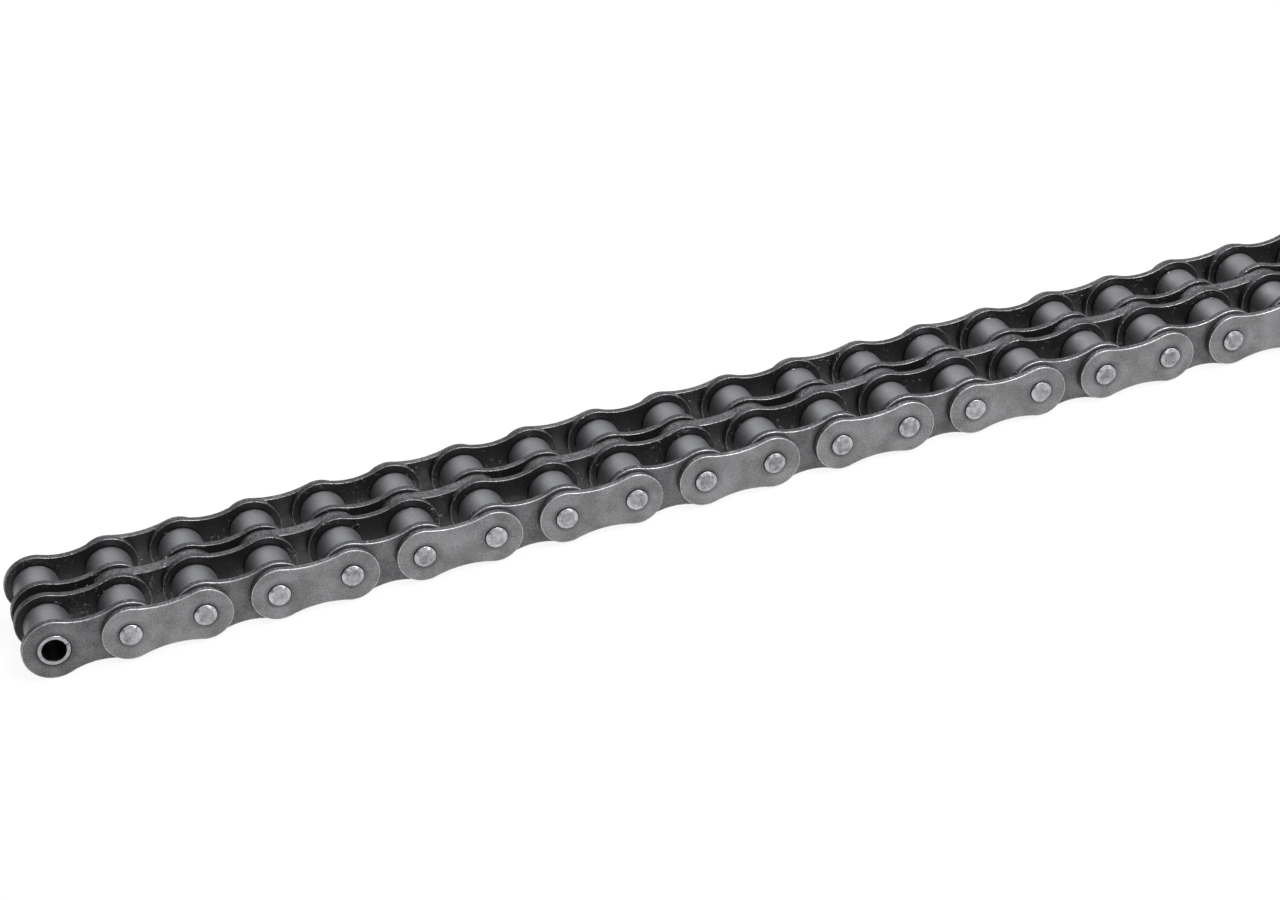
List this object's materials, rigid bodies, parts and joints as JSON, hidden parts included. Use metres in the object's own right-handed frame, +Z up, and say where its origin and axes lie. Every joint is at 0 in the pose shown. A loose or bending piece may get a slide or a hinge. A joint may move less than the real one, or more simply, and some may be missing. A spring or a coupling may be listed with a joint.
{
  "type": "duplex roller chain",
  "caption": "Straight run of double-strand roller chain: waisted plates, bushes, free rollers and staked pins, open eyes at both ends.",
  "frame": {"origin": "on the axis of the open eye at the start of the run, midway between the two strands", "axes": "+X along the chain from the start eye, +Y across it along the pin axes, +Z up, normal to the run"},
  "size_m": [0.378, 0.0406, 0.016],
  "materials": {
    "outer_plate_steel": "blanked and shot-peened, dark oiled steel",
    "inner_plate_steel": "blanked and shot-peened, dark oiled steel",
    "roller_steel": "satin, dark, case-hardened",
    "bush_steel": "ground bright at the rim",
    "pin_steel": "ground bright, staked ends"
  },
  "bodies": {
    "inner_link_01": {"inner_plates_01": "inner_plate_steel", "bushes_01": "bush_steel"},
    "outer_link_01": {"outer_plates_01": "outer_plate_steel", "pins_01": "pin_steel"},
    "inner_link_02": {"inner_plates_02": "inner_plate_steel", "bushes_02": "bush_steel"},
    "outer_link_02": {"outer_plates_02": "outer_plate_steel", "pins_02": "pin_steel"},
    "inner_link_03": {"inner_plates_03": "inner_plate_steel", "bushes_03": "bush_steel"},
    "outer_link_03": {"outer_plates_03": "outer_plate_steel", "pins_03": "pin_steel"},
    "inner_link_04": {"inner_plates_04": "inner_plate_steel", "bushes_04": "bush_steel"},
    "outer_link_04": {"outer_plates_04": "outer_plate_steel", "pins_04": "pin_steel"},
    "inner_link_05": {"inner_plates_05": "inner_plate_steel", "bushes_05": "bush_steel"},
    "outer_link_05": {"outer_plates_05": "outer_plate_steel", "pins_05": "pin_steel"},
    "inner_link_06": {"inner_plates_06": "inner_plate_steel", "bushes_06": "bush_steel"},
    "outer_link_06": {"outer_plates_06": "outer_plate_steel", "pins_06": "pin_steel"},
    "inner_link_07": {"inner_plates_07": "inner_plate_steel", "bushes_07": "bush_steel"},
    "outer_link_07": {"outer_plates_07": "outer_plate_steel", "pins_07": "pin_steel"},
    "inner_link_08": {"inner_plates_08": "inner_plate_steel", "bushes_08": "bush_steel"},
    "outer_link_08": {"outer_plates_08": "outer_plate_steel", "pins_08": "pin_steel"},
    "inner_link_09": {"inner_plates_09": "inner_plate_steel", "bushes_09": "bush_steel"},
    "outer_link_09": {"outer_plates_09": "outer_plate_steel", "pins_09": "pin_steel"},
    "inner_link_10": {"inner_plates_10": "inner_plate_steel", "bushes_10": "bush_steel"},
    "roller_pair_01": {"rollers_01": "roller_steel"},
    "roller_pair_02": {"rollers_02": "roller_steel"},
    "roller_pair_03": {"rollers_03": "roller_steel"},
    "roller_pair_04": {"rollers_04": "roller_steel"},
    "roller_pair_05": {"rollers_05": "roller_steel"},
    "roller_pair_06": {"rollers_06": "roller_steel"},
    "roller_pair_07": {"rollers_07": "roller_steel"},
    "roller_pair_08": {"rollers_08": "roller_steel"},
    "roller_pair_09": {"rollers_09": "roller_steel"},
    "roller_pair_10": {"rollers_10": "roller_steel"},
    "roller_pair_11": {"rollers_11": "roller_steel"},
    "roller_pair_12": {"rollers_12": "roller_steel"},
    "roller_pair_13": {"rollers_13": "roller_steel"},
    "roller_pair_14": {"rollers_14": "roller_steel"},
    "roller_pair_15": {"rollers_15": "roller_steel"},
    "roller_pair_16": {"rollers_16": "roller_steel"},
    "roller_pair_17": {"rollers_17": "roller_steel"},
    "roller_pair_18": {"rollers_18": "roller_steel"},
    "roller_pair_19": {"rollers_19": "roller_steel"},
    "roller_pair_20": {"rollers_20": "roller_steel"}
  },
  "joints": [
    {"name": "link_hinge_01", "type": "hinge", "parent": "inner_link_01", "child": "outer_link_01", "pos_m": [0.01905, 0, 0], "axis": [0, 1, 0], "range_deg": [-120, 120]},
    {"name": "link_hinge_02", "type": "hinge", "parent": "outer_link_01", "child": "inner_link_02", "pos_m": [0.0381, 0, 0], "axis": [0, -1, 0], "range_deg": [-120, 120]},
    {"name": "link_hinge_03", "type": "hinge", "parent": "inner_link_02", "child": "outer_link_02", "pos_m": [0.05715, 0, 0], "axis": [0, 1, 0], "range_deg": [-120, 120]},
    {"name": "link_hinge_04", "type": "hinge", "parent": "outer_link_02", "child": "inner_link_03", "pos_m": [0.0762, 0, 0], "axis": [0, -1, 0], "range_deg": [-120, 120]},
    {"name": "link_hinge_05", "type": "hinge", "parent": "inner_link_03", "child": "outer_link_03", "pos_m": [0.09525, 0, 0], "axis": [0, 1, 0], "range_deg": [-120, 120]},
    {"name": "link_hinge_06", "type": "hinge", "parent": "outer_link_03", "child": "inner_link_04", "pos_m": [0.1143, 0, 0], "axis": [0, -1, 0], "range_deg": [-120, 120]},
    {"name": "link_hinge_07", "type": "hinge", "parent": "inner_link_04", "child": "outer_link_04", "pos_m": [0.13335, 0, 0], "axis": [0, 1, 0], "range_deg": [-120, 120]},
    {"name": "link_hinge_08", "type": "hinge", "parent": "outer_link_04", "child": "inner_link_05", "pos_m": [0.1524, 0, 0], "axis": [0, -1, 0], "range_deg": [-120, 120]},
    {"name": "link_hinge_09", "type": "hinge", "parent": "inner_link_05", "child": "outer_link_05", "pos_m": [0.17145, 0, 0], "axis": [0, 1, 0], "range_deg": [-120, 120]},
    {"name": "link_hinge_10", "type": "hinge", "parent": "outer_link_05", "child": "inner_link_06", "pos_m": [0.1905, 0, 0], "axis": [0, -1, 0], "range_deg": [-120, 120]},
    {"name": "link_hinge_11", "type": "hinge", "parent": "inner_link_06", "child": "outer_link_06", "pos_m": [0.20955, 0, 0], "axis": [0, 1, 0], "range_deg": [-120, 120]},
    {"name": "link_hinge_12", "type": "hinge", "parent": "outer_link_06", "child": "inner_link_07", "pos_m": [0.2286, 0, 0], "axis": [0, -1, 0], "range_deg": [-120, 120]},
    {"name": "link_hinge_13", "type": "hinge", "parent": "inner_link_07", "child": "outer_link_07", "pos_m": [0.24765, 0, 0], "axis": [0, 1, 0], "range_deg": [-120, 120]},
    {"name": "link_hinge_14", "type": "hinge", "parent": "outer_link_07", "child": "inner_link_08", "pos_m": [0.2667, 0, 0], "axis": [0, -1, 0], "range_deg": [-120, 120]},
    {"name": "link_hinge_15", "type": "hinge", "parent": "inner_link_08", "child": "outer_link_08", "pos_m": [0.28575, 0, 0], "axis": [0, 1, 0], "range_deg": [-120, 120]},
    {"name": "link_hinge_16", "type": "hinge", "parent": "outer_link_08", "child": "inner_link_09", "pos_m": [0.3048, 0, 0], "axis": [0, -1, 0], "range_deg": [-120, 120]},
    {"name": "link_hinge_17", "type": "hinge", "parent": "inner_link_09", "child": "outer_link_09", "pos_m": [0.32385, 0, 0], "axis": [0, 1, 0], "range_deg": [-120, 120]},
    {"name": "link_hinge_18", "type": "hinge", "parent": "outer_link_09", "child": "inner_link_10", "pos_m": [0.3429, 0, 0], "axis": [0, -1, 0], "range_deg": [-120, 120]},
    {"name": "roller_spin_01", "type": "hinge", "parent": "inner_link_01", "child": "roller_pair_01", "pos_m": [0, 0, 0], "axis": [0, 1, 0], "continuous": true},
    {"name": "roller_spin_02", "type": "hinge", "parent": "inner_link_01", "child": "roller_pair_02", "pos_m": [0.01905, 0, 0], "axis": [0, 1, 0], "continuous": true},
    {"name": "roller_spin_03", "type": "hinge", "parent": "inner_link_02", "child": "roller_pair_03", "pos_m": [0.0381, 0, 0], "axis": [0, 1, 0], "continuous": true},
    {"name": "roller_spin_04", "type": "hinge", "parent": "inner_link_02", "child": "roller_pair_04", "pos_m": [0.05715, 0, 0], "axis": [0, 1, 0], "continuous": true},
    {"name": "roller_spin_05", "type": "hinge", "parent": "inner_link_03", "child": "roller_pair_05", "pos_m": [0.0762, 0, 0], "axis": [0, 1, 0], "continuous": true},
    {"name": "roller_spin_06", "type": "hinge", "parent": "inner_link_03", "child": "roller_pair_06", "pos_m": [0.09525, 0, 0], "axis": [0, 1, 0], "continuous": true},
    {"name": "roller_spin_07", "type": "hinge", "parent": "inner_link_04", "child": "roller_pair_07", "pos_m": [0.1143, 0, 0], "axis": [0, 1, 0], "continuous": true},
    {"name": "roller_spin_08", "type": "hinge", "parent": "inner_link_04", "child": "roller_pair_08", "pos_m": [0.13335, 0, 0], "axis": [0, 1, 0], "continuous": true},
    {"name": "roller_spin_09", "type": "hinge", "parent": "inner_link_05", "child": "roller_pair_09", "pos_m": [0.1524, 0, 0], "axis": [0, 1, 0], "continuous": true},
    {"name": "roller_spin_10", "type": "hinge", "parent": "inner_link_05", "child": "roller_pair_10", "pos_m": [0.17145, 0, 0], "axis": [0, 1, 0], "continuous": true},
    {"name": "roller_spin_11", "type": "hinge", "parent": "inner_link_06", "child": "roller_pair_11", "pos_m": [0.1905, 0, 0], "axis": [0, 1, 0], "continuous": true},
    {"name": "roller_spin_12", "type": "hinge", "parent": "inner_link_06", "child": "roller_pair_12", "pos_m": [0.20955, 0, 0], "axis": [0, 1, 0], "continuous": true},
    {"name": "roller_spin_13", "type": "hinge", "parent": "inner_link_07", "child": "roller_pair_13", "pos_m": [0.2286, 0, 0], "axis": [0, 1, 0], "continuous": true},
    {"name": "roller_spin_14", "type": "hinge", "parent": "inner_link_07", "child": "roller_pair_14", "pos_m": [0.24765, 0, 0], "axis": [0, 1, 0], "continuous": true},
    {"name": "roller_spin_15", "type": "hinge", "parent": "inner_link_08", "child": "roller_pair_15", "pos_m": [0.2667, 0, 0], "axis": [0, 1, 0], "continuous": true},
    {"name": "roller_spin_16", "type": "hinge", "parent": "inner_link_08", "child": "roller_pair_16", "pos_m": [0.28575, 0, 0], "axis": [0, 1, 0], "continuous": true},
    {"name": "roller_spin_17", "type": "hinge", "parent": "inner_link_09", "child": "roller_pair_17", "pos_m": [0.3048, 0, 0], "axis": [0, 1, 0], "continuous": true},
    {"name": "roller_spin_18", "type": "hinge", "parent": "inner_link_09", "child": "roller_pair_18", "pos_m": [0.32385, 0, 0], "axis": [0, 1, 0], "continuous": true},
    {"name": "roller_spin_19", "type": "hinge", "parent": "inner_link_10", "child": "roller_pair_19", "pos_m": [0.3429, 0, 0], "axis": [0, 1, 0], "continuous": true},
    {"name": "roller_spin_20", "type": "hinge", "parent": "inner_link_10", "child": "roller_pair_20", "pos_m": [0.36195, 0, 0], "axis": [0, 1, 0], "continuous": true}
  ]
}
